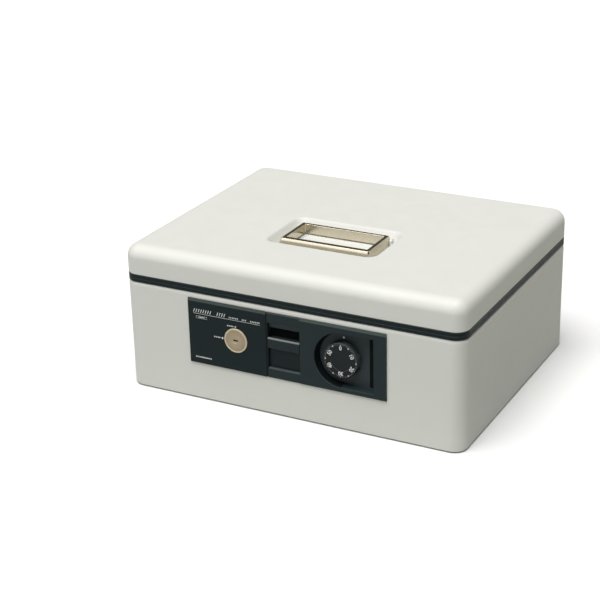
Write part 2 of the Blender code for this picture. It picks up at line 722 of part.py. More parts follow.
def build_fence_lever():
    """Long lever over the wheels: pivot at the right, fence in the middle, left end under the lug."""
    x, z = FENCE_AXIS.x, FENCE_AXIS.z
    front = -0.1288
    back = -0.1274
    tip = FENCE_LUG_LEFT + 0.0005
    half = 0.0035
    outline = [
        (tip, z - half), (x, z - half), (x + 0.0025, z - 0.0025), (x + half, z), (x + 0.0025, z + 0.0025),
        (x, z + half), (tip, z + half),
    ]
    lever = prism("fence_lever", outline, front, back, "Y", "zinc")
    fence = block("fence_bar", (DIAL.x - 0.0015, front + 0.0002, z - 0.0045),
                  (DIAL.x + 0.0015, -0.1125, z - 0.0005), helper=True)
    hole = bore("fence_hole", FENCE_PIN_RADIUS + FIT, FENCE_AXIS, steps=SMALL_STEPS)
    add(lever, fence)
    cut(lever, hole)
    set_moving(lever, (x, front, z), fence, hole)
    pin = ((FENCE_PIN_RADIUS, DIAL_CUP_BACK + GAP), (FENCE_PIN_RADIUS, -0.1250))
    turned("fence_pin", pin, FENCE_AXIS, steps=SMALL_STEPS)


# ---------------------------------------------------------------- lid
def lid_loops(inset, bottom):
    """Loops of the lid's outer skin, or of its inside when inset is the sheet's thickness."""
    fillet = LID_FILLET - inset
    corner = HEIGHT - LID_FILLET
    loops = [[(x, y, bottom) for x, y in case_outline(inset)]]
    for step in range(CORNER_STEPS + 1):
        turn = math.pi / 2 * step / CORNER_STEPS
        pull = inset + fillet * (1 - math.cos(turn))
        height = corner + fillet * math.sin(turn)
        loops.append([(x, y, height) for x, y in case_outline(pull)])
    return loops


def pocket_loops(grow, top):
    """Handle pocket with sloping walls; grow thickens it outwards."""
    depth = HEIGHT - POCKET_FLOOR
    levels = ((top, POCKET_SLOPE * (HEIGHT - top) / depth), (POCKET_FLOOR - grow, POCKET_SLOPE))
    loops = []
    for height, inset in levels:
        low = (-POCKET_HALF_WIDTH + inset - grow, POCKET_FRONT + inset - grow)
        high = (POCKET_HALF_WIDTH - inset + grow, POCKET_REAR - inset + grow)
        outline = rounded_rectangle(low, high, POCKET_RADIUS - POCKET_SLOPE / 2 + grow, 5)
        loops.append([(x, y, height) for x, y in outline])
    return loops


def build_lid_shell():
    lid = lofted("lid_shell", lid_loops(0.0, LID_BOTTOM))
    inside = lofted("lid_inside", lid_loops(SHEET, LID_BOTTOM - SHEET), helper=True)
    pocket_skin = lofted("pocket_skin", pocket_loops(SHEET, HEIGHT + 0.001), helper=True)
    cut(inside, pocket_skin)
    pocket = lofted("pocket_hollow", pocket_loops(0.0, HEIGHT + 0.002), helper=True)
    half = HINGE_LENGTH / 2 + 2 * GAP
    top = HINGE_AXIS.z + HINGE_RADIUS + 2 * GAP
    notches = [((x - half, REAR_FACE - 2 * SHEET, LID_BOTTOM - SHEET), (x + half, REAR_FACE + SHEET, top))
               for x in HINGE_CENTRES]
    cut(lid, inside, pocket, blocks("lid_notches", notches))


def build_lid_liner():
    """Shallow pan that closes the lid's inside, open downwards."""
    inset = 0.0060
    low = 0.1270
    high = 0.1355
    wall = 0.0010
    liner = prism("lid_liner", case_outline(inset), low, high, "Z", "grey_plastic")
    hollow = prism("liner_hollow", case_outline(inset + wall), low - wall, high - wall, helper=True)
    cut(liner, hollow)


def handle_outline(inset, radius):
    low = (-HANDLE_HALF_WIDTH + inset, HANDLE_FRONT + inset)
    high = (HANDLE_HALF_WIDTH - inset, HANDLE_REAR - inset)
    return rounded_rectangle(low, high, radius, 3)


def build_handle_loop():
    """Rectangular carrying loop with chamfered edges, hinged at its rear bar."""
    edge = 0.0010
    outer_edge, inner_edge = 0.0018, 0.0006
    section = (
        (0.0, HANDLE_BOTTOM + edge), (0.0, HANDLE_TOP - edge), (edge, HANDLE_TOP),
        (HANDLE_BAR - edge, HANDLE_TOP), (HANDLE_BAR, HANDLE_TOP - edge), (HANDLE_BAR, HANDLE_BOTTOM + edge),
        (HANDLE_BAR - edge, HANDLE_BOTTOM), (edge, HANDLE_BOTTOM),
    )
    loops = []
    for inset, height in section:
        radius = inner_edge if inset > HANDLE_BAR / 2 else outer_edge
        loops.append([(x, y, height) for x, y in handle_outline(inset, radius)])
    handle = lofted("handle_loop", loops, "nickel", ring=True)
    outer = HANDLE_HALF_WIDTH + 0.001
    inner = HANDLE_HALF_WIDTH - 0.0038
    bores = [
        bore("handle_bore_" + name, HANDLE_PIN_RADIUS + FIT, HANDLE_AXIS, "X", span, SMALL_STEPS)
        for name, span in (("left", (-outer, -inner)), ("right", (inner, outer)))
    ]
    cut(handle, *bores)
    set_moving(handle, HANDLE_AXIS, *bores)


def build_handle_mounts():
    """Lugs on the pocket's floor and the pins that join them to the loop."""
    thick = 0.0022
    inner = HANDLE_HALF_WIDTH + GAP
    pin_inner = HANDLE_HALF_WIDTH - 0.0034
    pin_outer = inner + thick + 0.0004
    y, z = HANDLE_AXIS.y, HANDLE_AXIS.z
    radius = 0.0030
    crown = z - 0.0006
    foot = POCKET_FLOOR + GAP
    arc = [math.pi * step / 8 for step in range(9)]
    outline = [(y + radius * math.cos(t), crown + radius * math.sin(t)) for t in arc]
    outline += [(y - radius, foot), (y + radius, foot)]
    for name, side in (("left", -1), ("right", 1)):
        low, high = sorted((side * inner, side * (inner + thick)))
        bracket = prism("handle_bracket_" + name, outline, low, high, "X", "paint")
        hole = bore("bracket_bore_" + name, HANDLE_PIN_RADIUS + FIT, HANDLE_AXIS, "X", ACROSS, SMALL_STEPS)
        cut(bracket, hole)
        reach = sorted((side * pin_inner, side * pin_outer))
        pin = [(HANDLE_PIN_RADIUS, x) for x in reach]
        turned("handle_pin_" + name, pin, HANDLE_AXIS, "X", "zinc", steps=SMALL_STEPS)


# ---------------------------------------------------------------- hinges
def hinge_leaf(name, outline, knuckles, finish="paint"):
    leaf = prism(name, outline, LEAF_FRONT, LEAF_REAR, "Y", finish)
    barrels = [
        turned("%s_knuckle_%d" % (name, index), ((HINGE_RADIUS, start), (HINGE_RADIUS, end)), HINGE_AXIS, "X",
               helper=True, steps=20)
        for index, (start, end) in enumerate(knuckles)
    ]
    spare = 0.001
    span = (knuckles[0][0] - spare, knuckles[-1][1] + spare)
    add(leaf, *barrels)
    cut(leaf, bore(name + "_bore", HINGE_PIN_RADIUS + FIT, HINGE_AXIS, "X", span, 20))


def build_hinges():
    half = HINGE_LENGTH / 2
    third = HINGE_LENGTH / 6
    axis = HINGE_AXIS.z
    clear = HINGE_RADIUS + 2 * GAP
    for side, centre in zip(("left", "right"), HINGE_CENTRES):
        left, right = centre - half, centre + half
        inner_left, inner_right = centre - third, centre + third
        body = [
            (left, axis - 0.020), (right, axis - 0.020), (right, axis), (inner_right, axis),
            (inner_right, axis - clear), (inner_left, axis - clear), (inner_left, axis), (left, axis),
        ]
        hinge_leaf("hinge_body_leaf_" + side, body, ((left, inner_left), (inner_right, right)))
        lid = [
            (left, axis + 0.0125), (left, axis + clear), (inner_left + GAP, axis + clear),
            (inner_left + GAP, axis), (inner_right - GAP, axis), (inner_right - GAP, axis + clear),
            (right, axis + clear), (right, axis + 0.0125),
        ]
        hinge_leaf("hinge_lid_leaf_" + side, lid, ((inner_left + GAP, inner_right - GAP),))
        pin = ((HINGE_PIN_RADIUS, left + GAP), (HINGE_PIN_RADIUS, right - GAP))
        turned("hinge_pin_" + side, pin, HINGE_AXIS, "X", "zinc", steps=20)


# ---------------------------------------------------------------- tray
def tray_compartments():
    """Six coin wells in front and two long wells behind, as pairs of corners."""
    wall = TRAY_WALL
    left = -TRAY_HALF_WIDTH + wall
    width = 2 * TRAY_HALF_WIDTH - wall
    floor = TRAY_LOW + wall
    top = TRAY_HIGH + 0.001
    split = TRAY_FRONT + 0.095
    wells = []
    for count, front, rear in ((6, TRAY_FRONT + wall, split), (2, split + wall, TRAY_REAR - wall)):
        pitch = width / count
        for index in range(count):
            start = left + index * pitch
            wells.append(((start, front, floor), (start + pitch - wall, rear, top)))
    return wells


def build_coin_tray():
    low = (-TRAY_HALF_WIDTH, TRAY_FRONT)
    high = (TRAY_HALF_WIDTH, TRAY_REAR)
    outline = rounded_rectangle(low, high, 0.008, 5)
    tray = prism("coin_tray", outline, TRAY_LOW, TRAY_HIGH, "Z", "grey_plastic")
    cut(tray, blocks("tray_wells", tray_compartments()))


# ---------------------------------------------------------------- whole box
def clear_scene():
    for piece in list(bpy.data.objects):
        bpy.data.objects.remove(piece, do_unlink=True)


def main():
    clear_scene()
    for build in (
        build_body_shell, build_rim_frame, build_feet, build_tray_rails, build_lock_panel, build_name_plate,
        build_lock_cover, build_cover_screws, build_key_cylinder, build_cylinder_nut, build_key_plug,
        build_key_cam, build_latch_slider, build_latch_guide, build_latch_spring, build_latch_hook,
        build_hook_bracket, build_keeper, build_dial_knob, build_dial_works, build_fence_lever, build_lid_shell,
        build_lid_liner, build_handle_loop, build_handle_mounts, build_hinges, build_coin_tray,
    ):
        build()


main()
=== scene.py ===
"""Looks of the steel document box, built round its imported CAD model.

Metres, +Z up, front at -Y.  Sizes come from the CAD nodes where they can; the others are named here.
Insets go inwards from the case's outer walls.  Depths in the latch bay go back from the lock panel's face.
"""
import json
import math

import bmesh
import bpy
from mathutils import Matrix, Vector


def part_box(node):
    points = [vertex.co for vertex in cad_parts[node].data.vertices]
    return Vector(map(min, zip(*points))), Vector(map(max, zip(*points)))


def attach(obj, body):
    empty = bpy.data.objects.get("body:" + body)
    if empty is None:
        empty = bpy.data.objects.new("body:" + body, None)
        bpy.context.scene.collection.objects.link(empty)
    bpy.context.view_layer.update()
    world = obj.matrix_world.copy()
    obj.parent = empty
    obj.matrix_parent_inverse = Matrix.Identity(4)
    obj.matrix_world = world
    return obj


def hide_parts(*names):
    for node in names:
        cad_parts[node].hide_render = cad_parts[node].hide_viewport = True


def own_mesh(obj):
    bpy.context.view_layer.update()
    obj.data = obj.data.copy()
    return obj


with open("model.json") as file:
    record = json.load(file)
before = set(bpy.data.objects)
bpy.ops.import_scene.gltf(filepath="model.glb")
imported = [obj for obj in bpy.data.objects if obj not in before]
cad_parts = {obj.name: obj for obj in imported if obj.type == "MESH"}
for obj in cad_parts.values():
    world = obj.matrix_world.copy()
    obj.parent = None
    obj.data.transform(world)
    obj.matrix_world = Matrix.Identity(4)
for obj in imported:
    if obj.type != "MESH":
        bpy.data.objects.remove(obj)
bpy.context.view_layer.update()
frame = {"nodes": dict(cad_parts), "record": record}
NODES = frame["nodes"]
TAU = 2 * math.pi

# ---------------------------------------------------------------- places read from the CAD model
BODY_LOW, BODY_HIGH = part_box("body_shell")
LID_LOW, LID_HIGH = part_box("lid_shell")
BAND_LOW, BAND_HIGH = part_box("rim_frame")
PLATE_LOW, PLATE_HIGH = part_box("name_plate")
PANEL_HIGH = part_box("lock_panel")[1]
KNOB_LOW, KNOB_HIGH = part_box("dial_knob")
DISC_LOW, DISC_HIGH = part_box("key_cylinder")
FACE_LOW, FACE_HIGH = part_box("key_plug")
LOOP_LOW, LOOP_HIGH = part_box("handle_loop")
SLIDER_LOW, SLIDER_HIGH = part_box("latch_slider")
KEY = (DISC_LOW + DISC_HIGH) / 2
DIAL = (KNOB_LOW + KNOB_HIGH) / 2
PANEL_FACE = PLATE_LOW.y

# ---------------------------------------------------------------- other sizes
SHEET = 0.0012               # steel of body and lid
CASE_CORNER = 0.014          # upright corners of body and lid
LID_FILLET = 0.013           # round between the lid's walls and top
CORNER_STEPS = 14
POCKET_FLOOR = 0.1385
KEYHOLE = (0.0025, 0.00075)  # half its length and half its width
INK_THICKNESS = 0.00004
SOFT_EDGE = 0.00015          # rounding of a CAD node's edges, where EDGES gives no other
EDGES = {
    "lock_panel": 0.00025, "name_plate": 0.00025, "latch_slider": 0.0004, "coin_tray": 0.0006,
    "lid_liner": 0.0006, "lock_cover": 0.0004, "hinge_lid_leaf_left": 0.0002,
}

# latch bay: depths, and heights above the floor
BAY_BOTTOM = 0.0491
BAY_TOP = 0.0971
GRIP_TOP = 0.0816
SKIRT_TOP = 0.0699
SKIRT_DEPTH = 0.0034
SLIDER_FACE_DEPTH = 0.0074   # the slider's front above its grip

# dial bay
RECESS_RADIUS = 0.0254       # at its floor
RECESS_MOUTH = 0.0276
RECESS_FLOOR = KNOB_HIGH.y + 0.0003
# a dark strip painted as shade along the recess floor's right-hand end
SHADE_STRIP_LEFT, SHADE_STRIP_RIGHT = 0.0842, 0.0892

# light
FLOOR_SHOWN = (0.88, 0.88, 0.88)
FLOOR_BOUNCE = (0.575, 0.588, 0.565)
SKY_SHOWN = 0.95
SKY_BOUNCE = 0.09


# ---------------------------------------------------------------- shader building
class Paint:
    """A Principled material and the few node chains that its detail is made of."""

    def __init__(self, name, colour, roughness, metallic=0.0, **values):
        self.material = bpy.data.materials.new(name)
        self.material.use_nodes = True
        self.tree = self.material.node_tree
        self.shader = self.tree.nodes["Principled BSDF"]
        self.colour = colour
        self.set(Base_Color=(*colour, 1.0), Roughness=roughness, Metallic=metallic, **values)
        self.coordinates = self.node("TexCoord").outputs["Object"]
        self.height = None

    def node(self, kind, **inputs):
        made = self.tree.nodes.new("ShaderNode" + kind)
        for name, value in inputs.items():
            self.feed(made.inputs[name.replace("_", " ")], value)
        return made

    def feed(self, socket, value):
        if isinstance(value, bpy.types.NodeSocket):
            self.tree.links.new(value, socket)
        else:
            socket.default_value = value

    def set(self, **values):
        for name, value in values.items():
            self.feed(self.shader.inputs[name.replace("_", " ")], value)

    def noise(self, size, detail=3.0, stretch=(1.0, 1.0, 1.0)):
        """Grey noise whose blotches are about size metres across, longer where stretch is above 1."""
        scale = [1.0 / (size * s) for s in stretch]
        place = self.node("Mapping", Vector=self.coordinates, Scale=scale)
        return self.node("TexNoise", Vector=place.outputs[0], Scale=1.0, Detail=detail).outputs["Fac"]

    def spread(self, fac, low, high, start=0.35, end=0.65):
        """fac between start and end, as a value between low and high."""
        made = self.node("MapRange", Value=fac)
        for name, value in (("From Min", start), ("From Max", end), ("To Min", low), ("To Max", high)):
            made.inputs[name].default_value = value
        return made.outputs[0]

    def mix_colours(self, fac, first, second):
        """Base colour that goes from first to second as fac goes from 0 to 1."""
        mix = self.tree.nodes.new("ShaderNodeMix")
        mix.data_type = "RGBA"
        self.feed(mix.inputs["Factor"], fac)
        sockets = [s for s in mix.inputs if s.type == "RGBA"]
        for socket, colour in zip(sockets, (first, second)):
            socket.default_value = (*colour, 1.0)
        self.set(Base_Color=next(s for s in mix.outputs if s.type == "RGBA"))

    def shade_colour(self, fac, dark, light):
        """Base colour that drifts between dark and light times the material's own."""
        first, second = ([min(1.0, c * gain) for c in self.colour] for gain in (dark, light))
        self.mix_colours(fac, first, second)

    def rough(self, fac, low, high):
        self.set(Roughness=self.spread(fac, low, high))

    def bump(self, fac, depth):
        """Adds relief of about depth metres; a second call lies on top of the first."""
        made = self.node("Bump", Height=fac, Strength=1.0, Distance=depth)
        if self.height is not None:
            self.tree.links.new(self.height, made.inputs["Normal"])
        self.height = made.outputs["Normal"]
        self.set(Normal=self.height)
        return self

    def rings(self, centre, pitch):
        """Waves round an axis along Y through centre."""
        offset = [-c for c in centre]
        place = self.node("Mapping", Vector=self.coordinates, Location=offset, Scale=(1.0, 0.0, 1.0))
        length = self.node("VectorMath", Vector=place.outputs[0])
        length.operation = "LENGTH"
        turns = self.maths("MULTIPLY", length.outputs["Value"], TAU / pitch)
        return self.spread(self.maths("SINE", turns), 0.0, 1.0, -1.0, 1.0)

    def maths(self, operation, *values):
        """Output of a Math node."""
        made = self.node("Math")
        made.operation = operation
        for socket, value in zip(made.inputs, values):
            self.feed(socket, value)
        return made.outputs[0]


def enamel():
    """Warm light grey baked enamel: fine orange peel, faint mottling."""
    paint = Paint("enamel", (0.700, 0.705, 0.665), 0.46)
    paint.shade_colour(paint.noise(0.05, 4.0), 0.985, 1.015)
    paint.rough(paint.noise(0.012, 3.0), 0.42, 0.50)
    paint.bump(paint.noise(0.0016, 2.0), 0.000030)
    return paint.bump(paint.noise(0.0004, 1.0), 0.000006).material


def moulding(name, colour, roughness, grain=0.00035, gloss=0.22, bevel=None):
    """Injection-moulded plastic: spark-eroded grain, and a painted highlight: bevels between front and top that
    tilt upwards get the paler colour.
    """
    paint = Paint(name, colour, roughness)
    paint.set(Specular_IOR_Level=gloss)
    if bevel:
        # painted highlight: faces whose true normal tilts upwards take the paler bevel colour, as if lit from
        # above
        normal = paint.node("NewGeometry").outputs["True Normal"]
        ramp = paint.node("ValToRGB", Fac=paint.node("SeparateXYZ", Vector=normal).outputs["Z"])
        stops = ramp.color_ramp.elements
        for index, (place, shade) in enumerate(((0.06, colour), (0.20, bevel), (0.80, bevel), (0.92, colour))):
            stop = stops[index] if index < 2 else stops.new(place)
            stop.position, stop.color = place, (*shade, 1.0)
        paint.set(Base_Color=ramp.outputs["Color"])
    else:
        paint.shade_colour(paint.noise(0.02, 4.0), 0.88, 1.12)
    paint.rough(paint.noise(0.004, 3.0), roughness - 0.05, roughness + 0.07)
    return paint.bump(paint.noise(grain, 2.0), 0.000012).material


def black_felt():
    """Near-black sheet with a short, uneven nap, used as painted shade."""
    paint = Paint("painted_shade_sheet", (0.004, 0.005, 0.006), 0.95, Specular_IOR_Level=0.05)
    paint.shade_colour(paint.noise(0.0008, 3.0), 0.6, 1.4)
    return paint.bump(paint.noise(0.0004, 3.0), 0.00008).material


def turned_metal(name, colour, roughness, centre, pitch, depth, metallic=1.0):
    """Metal faced on a lathe: fine rings round an axis along Y."""
    paint = Paint(name, colour, roughness, metallic)
    ring = paint.rings(centre, pitch)
    paint.shade_colour(ring, 0.78, 1.12)
    paint.rough(paint.noise(0.0008, 3.0), roughness - 0.06, roughness + 0.10)
    return paint.bump(ring, depth).material


def plated(name, colour, roughness, depth=0.000004):
    """Plated or plain metal with faint polishing marks."""
    paint = Paint(name, colour, roughness, 1.0)
    marks = paint.noise(0.0012, 4.0)
    paint.shade_colour(paint.noise(0.006, 3.0), 0.90, 1.08)
    paint.rough(marks, roughness - 0.05, roughness + 0.08)
    return paint.bump(marks, depth).material


def galvanised():
    """Zinc-plated sheet: soft spangle and rolling lines."""
    paint = Paint("zinc", (0.58, 0.59, 0.60), 0.40, 1.0)
    cells = paint.node("TexVoronoi", Vector=paint.coordinates, Scale=260.0)
    paint.shade_colour(cells.outputs["Distance"], 0.86, 1.10)
    lines = paint.noise(0.0007, 3.0, (14.0, 1.0, 1.0))
    paint.rough(lines, 0.32, 0.50)
    return paint.bump(lines, 0.000005).material


def soft_rubber():
    """Matt black rubber of the feet."""
    paint = Paint("rubber", (0.028, 0.028, 0.028), 0.75)
    paint.shade_colour(paint.noise(0.002, 3.0), 0.8, 1.3)
    return paint.bump(paint.noise(0.0006, 3.0), 0.00003).material


def white_ink():
    """Screen-printed ink with slightly uneven cover."""
    paint = Paint("ink", (0.80, 0.81, 0.80), 0.55)
    paint.shade_colour(paint.noise(0.0005, 3.0), 0.88, 1.02)
    return paint.bump(paint.noise(0.0003, 2.0), 0.000004).material


# each pair: the plastic's own colour, then the paler colour painted on upward-tilting bevels as a highlight
BLACK, BLACK_BEVEL_HIGHLIGHT = (0.0048, 0.0125, 0.0150), (0.052, 0.066, 0.064)
DIAL_BLACK, DIAL_BEVEL_HIGHLIGHT = (0.0080, 0.0115, 0.0130), (0.070, 0.080, 0.085)
LOCK_BLACK, LOCK_BEVEL_HIGHLIGHT = (0.0140, 0.0250, 0.0280), (0.062, 0.078, 0.076)
MATERIALS = {
    "paint": enamel(),
    "black_plastic": moulding("black_plastic", BLACK, 0.42, gloss=0.18, bevel=BLACK_BEVEL_HIGHLIGHT),
    "dial_plastic": moulding("dial_plastic", DIAL_BLACK, 0.46, 0.0003, bevel=DIAL_BEVEL_HIGHLIGHT),
    "grey_plastic": moulding("grey_plastic", (0.16, 0.17, 0.17), 0.52, 0.0005, 0.4),
    "brass": turned_metal("brass", (0.48, 0.385, 0.26), 0.55, KEY, 0.0022, 0.000020, 0.10),
    "nickel": plated("nickel", (0.61, 0.555, 0.44), 0.20, 0.0000005),
    "zinc": galvanised(),
    "spring_steel": plated("spring_steel", (0.42, 0.42, 0.43), 0.30),
    "rubber": soft_rubber(),
}
INK = white_ink()
WHEEL_BRASS = turned_metal("wheel_brass", (0.60, 0.46, 0.24), 0.36, DIAL, 0.0006, 0.000010)
RIM_NICKEL = turned_metal("rim_nickel", (0.80, 0.69, 0.50), 0.45, KEY, 0.0003, 0.000004, 0.15)
SHADE_SHEET = black_felt()
LOCK_PLASTIC = moulding("lock_plastic", LOCK_BLACK, 0.42, gloss=0.18, bevel=LOCK_BEVEL_HIGHLIGHT)
BAY_PLASTIC = moulding("bay_plastic", (0.0300, 0.0430, 0.0470), 0.45)
# paler plastic painted on the grip's top edge as a highlight
GRIP_HIGHLIGHT_PLASTIC = moulding("grip_highlight_plastic", (0.17, 0.18, 0.17), 0.45)
# near-black plastic for sheets painted in as shade
PAINTED_SHADE_PLASTIC = moulding("painted_shade_plastic", (0.0048, 0.0075, 0.0088), 0.60, gloss=0.05)
OTHER_MATERIALS = {
    "combination_wheel_1": WHEEL_BRASS, "combination_wheel_2": WHEEL_BRASS, "combination_wheel_3": WHEEL_BRASS,
    "drive_cam": WHEEL_BRASS, "key_cylinder": RIM_NICKEL, "lock_panel": LOCK_PLASTIC, "latch_slider": LOCK_PLASTIC,
    "handle_pin_left": MATERIALS["paint"], "handle_pin_right": MATERIALS["paint"],
}


# ---------------------------------------------------------------- mesh helpers
def rounded_rectangle(low, high, radius, steps=CORNER_STEPS):
    """Corner arcs of a rectangle, anticlockwise; low and high are its opposite corners."""
    centres = (
        (high[0] - radius, high[1] - radius), (low[0] + radius, high[1] - radius),
        (low[0] + radius, low[1] + radius), (high[0] - radius, low[1] + radius),
    )
    points = []
    for quarter, (a, b) in enumerate(centres):
        for step in range(steps + 1):
            turn = TAU / 4 * (quarter + step / steps)
            points.append((a + radius * math.cos(turn), b + radius * math.sin(turn)))
    return points


def case_outline(inset, height):
    """Level loop round the case's walls."""
    low = (BODY_LOW.x + inset, BODY_LOW.y + inset)
    high = (BODY_HIGH.x - inset, BODY_HIGH.y - inset)
    return [(x, y, height) for x, y in rounded_rectangle(low, high, max(CASE_CORNER - inset, 0.0005))]


def arc(centre, radius, start, end, steps):
    """Points of an arc in a section plane; angles in quarter turns."""
    turns = [TAU / 4 * (start + (end - start) * step / steps) for step in range(steps + 1)]
    return [(centre[0] + radius * math.cos(t), centre[1] + radius * math.sin(t)) for t in turns]


def linked(name, data):
    """Object round the data, put in the scene."""
    made = bpy.data.objects.new(name, data)
    bpy.context.scene.collection.objects.link(made)
    return made


def to_mesh(name, builder):
    """Mesh from a builder, which is used up."""
    bmesh.ops.recalc_face_normals(builder, faces=builder.faces)
    mesh = bpy.data.meshes.new(name)
    builder.to_mesh(mesh)
    builder.free()
    return mesh


def new_piece(name, builder, material, body, smooth=40.0):
    """Object from a builder, smooth where faces meet at less than smooth degrees; it rides on body, if any."""
    mesh = to_mesh(name, builder)
    mesh.shade_smooth()
    mesh.set_sharp_from_angle(angle=math.radians(smooth))
    mesh.materials.append(material)
    piece = linked(name, mesh)
    if body:
        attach(piece, body)
    return piece


def loft(loops, ring=False):
    """Mesh through equal-sized loops of points, capped, or closed round on itself."""
    builder = bmesh.new()
    rows = [[builder.verts.new(point) for point in loop] for loop in loops]
    pairs = list(zip(rows, rows[1:]))
    if ring:
        pairs.append((rows[-1], rows[0]))
    else:
        builder.faces.new(rows[0])
        builder.faces.new(rows[-1])
    for lower, upper in pairs:
        for index in range(len(lower)):
            after = (index + 1) % len(lower)
            builder.faces.new((lower[index], lower[after], upper[after], upper[index]))
    return builder


def circle(centre, radius, place, steps=96, wobble=None):
    """Circle round an axis along Y, at place along it; wobble gives each point's extra radius."""
    points = []
    for step in range(steps):
        turn = TAU * step / steps
        reach = radius + (wobble(step) if wobble else 0.0)
        points.append((centre.x + reach * math.cos(turn), place, centre.z + reach * math.sin(turn)))
    return points


def boxes(*corners):
    """Upright boxes from pairs of opposite corners."""
    builder = bmesh.new()
    for low, high in corners:
        size = [b - a for a, b in zip(low, high)]
        middle = [(a + b) / 2 for a, b in zip(low, high)]
        place = Matrix.Translation(middle) @ Matrix.Diagonal((*size, 1.0))
        bmesh.ops.create_cube(builder, size=1.0, matrix=place)
    return builder


def cut_with(piece, builder):
    """Boolean difference with a builder's solid, applied."""
    cutter = linked("cutter", to_mesh("cutter", builder))
    modifier = piece.modifiers.new("cut", "BOOLEAN")
    modifier.object = cutter
    modifier.solver = "EXACT"
    ready = piece.evaluated_get(bpy.context.evaluated_depsgraph_get())
    mesh = bpy.data.meshes.new_from_object(ready)
    piece.modifiers.clear()
    piece.data = mesh
    bpy.data.objects.remove(cutter)


def even_normals(piece):
    """Keeps broad flats flat where they run into small rounds."""
    modifier = piece.modifiers.new("normals", "WEIGHTED_NORMAL")
    modifier.keep_sharp = True


def smoothing_group(name, angle):
    """Geometry nodes that shade faces smooth and keep edges above an angle sharp."""
    group = bpy.data.node_groups.new(name, "GeometryNodeTree")
    for flow in ("INPUT", "OUTPUT"):
        group.interface.new_socket("Geometry", in_out=flow, socket_type="NodeSocketGeometry")
    start = group.nodes.new("NodeGroupInput")
    end = group.nodes.new("NodeGroupOutput")
    faces = group.nodes.new("GeometryNodeSetShadeSmooth")
    edges = group.nodes.new("GeometryNodeSetShadeSmooth")
    edges.domain = "EDGE"
    bend = group.nodes.new("GeometryNodeInputMeshEdgeAngle")
    gentle = group.nodes.new("FunctionNodeCompare")
    gentle.operation = "LESS_THAN"
    gentle.inputs["B"].default_value = math.radians(angle)
    link = group.links.new
    link(start.outputs[0], faces.inputs["Geometry"])
    link(faces.outputs[0], edges.inputs["Geometry"])
    link(bend.outputs["Unsigned Angle"], gentle.inputs["A"])
    link(gentle.outputs[0], edges.inputs["Shade Smooth"])
    link(edges.outputs[0], end.inputs[0])
    return group


SMOOTH = smoothing_group("smooth_rounds", 38.0)
CRISP = smoothing_group("crisp_chamfers", 13.0)


def dress(node, material, edge, smoothing):
    """Gives a CAD node its material, clean flats, softened edges and smooth rounds."""
    for slot in node.material_slots:
        slot.material = material
    weld = node.modifiers.new("weld", "WELD")
    weld.merge_threshold = 0.00001
    flats = node.modifiers.new("flats", "DECIMATE")
    flats.decimate_type = "DISSOLVE"
    flats.angle_limit = math.radians(0.5)
    bevel = node.modifiers.new("soften", "BEVEL")
    bevel.width = edge
    bevel.segments = 2
    bevel.limit_method = "ANGLE"
    bevel.angle_limit = math.radians(30.0)
    node.modifiers.new("smooth", "NODES").node_group = smoothing
    even_normals(node)


# ---------------------------------------------------------------- case and lid
def build_body():
    """Pressed body: rounded foot edge, walls, rolled top edge and the inside skin."""
    foot, skirt = 0.0014, 0.0010
    roll, lean = 0.0012, 0.0045
    low, high = BODY_LOW.z, BODY_HIGH.z
    section = [(0.0045, low), (0.0035, low - skirt)]
    section += [(foot - r, z) for r, z in arc((0.0, low - skirt + foot), foot, -1, 0, 5)]
    for step in range(9):
        turn = TAU / 4 * step / 8
        section.append((roll * (1 - math.cos(turn)), high - lean + lean * math.sin(turn)))
    section += [(SHEET, high - 0.0002), (SHEET, low + SHEET + 0.001), (SHEET + 0.001, low + SHEET)]
    body = new_piece("body_skin", loft([case_outline(inset, z) for inset, z in section]), MATERIALS["paint"], None)
    lap = 0.0033
    cut_with(body, boxes((
        (PLATE_LOW.x + lap, BODY_LOW.y - SHEET, PLATE_LOW.z + lap),
        (PANEL_HIGH.x - lap, BODY_LOW.y + 2 * SHEET, PLATE_HIGH.z - lap),
    )))
    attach(body, "case")
    even_normals(body)
    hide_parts("body_shell")


def hinge_notches(low, high):
    """Boxes that clear the two hinge barrels in the rear wall."""
    spare = 0.0006
    notches = []
    for side in ("left", "right"):
        start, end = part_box("hinge_body_leaf_" + side)
        notches.append((
            (start.x - spare, BODY_HIGH.y - 2 * SHEET, low),
            (end.x + spare, BODY_HIGH.y + SHEET, high),
        ))
    return notches


def pocket_loops(offset):
    """Handle pocket from the lid's top down to its floor; offset moves it out for its underside."""
    half_width, front, rear = 0.0608, -0.0735, 0.0035
    corner, tightening = 0.0120, 0.0075
    reach = 0.0120           # how far its sloping walls come in
    ease = 0.2               # share of the slope that bends at the top, and again at the bottom
    steps = 14
    top = LID_HIGH.z
    loops = []
    for step in range(steps + 1):
        part = step / steps
        near = min(part, 1.0 - part)
        bend = near * near / (2 * ease) if near < ease else near - ease / 2
        fall = bend / (1.0 - ease) if part < 0.5 else 1.0 - bend / (1.0 - ease)
        inset = reach * part - offset
        height = top - (top - POCKET_FLOOR) * fall - offset
        low = (-half_width + inset, front + inset)
        high = (half_width - inset, rear - inset)
        radius = max(corner - tightening * part + offset, 0.001)
        loops.append([(x, y, height) for x, y in rounded_rectangle(low, high, radius)])
    return loops


def lid_skin_loops(offset, bottom):
    """Loops from the hem at height bottom, up the lid's walls and over its fillet; offset is an inset."""
    fillet = LID_FILLET - offset
    level = LID_HIGH.z - LID_FILLET
    section = [(offset, bottom)]
    section += [(offset + fillet - r, z) for r, z in arc((0.0, level), fillet, 0, 1, 12)]
    return [case_outline(inset, z) for inset, z in section]


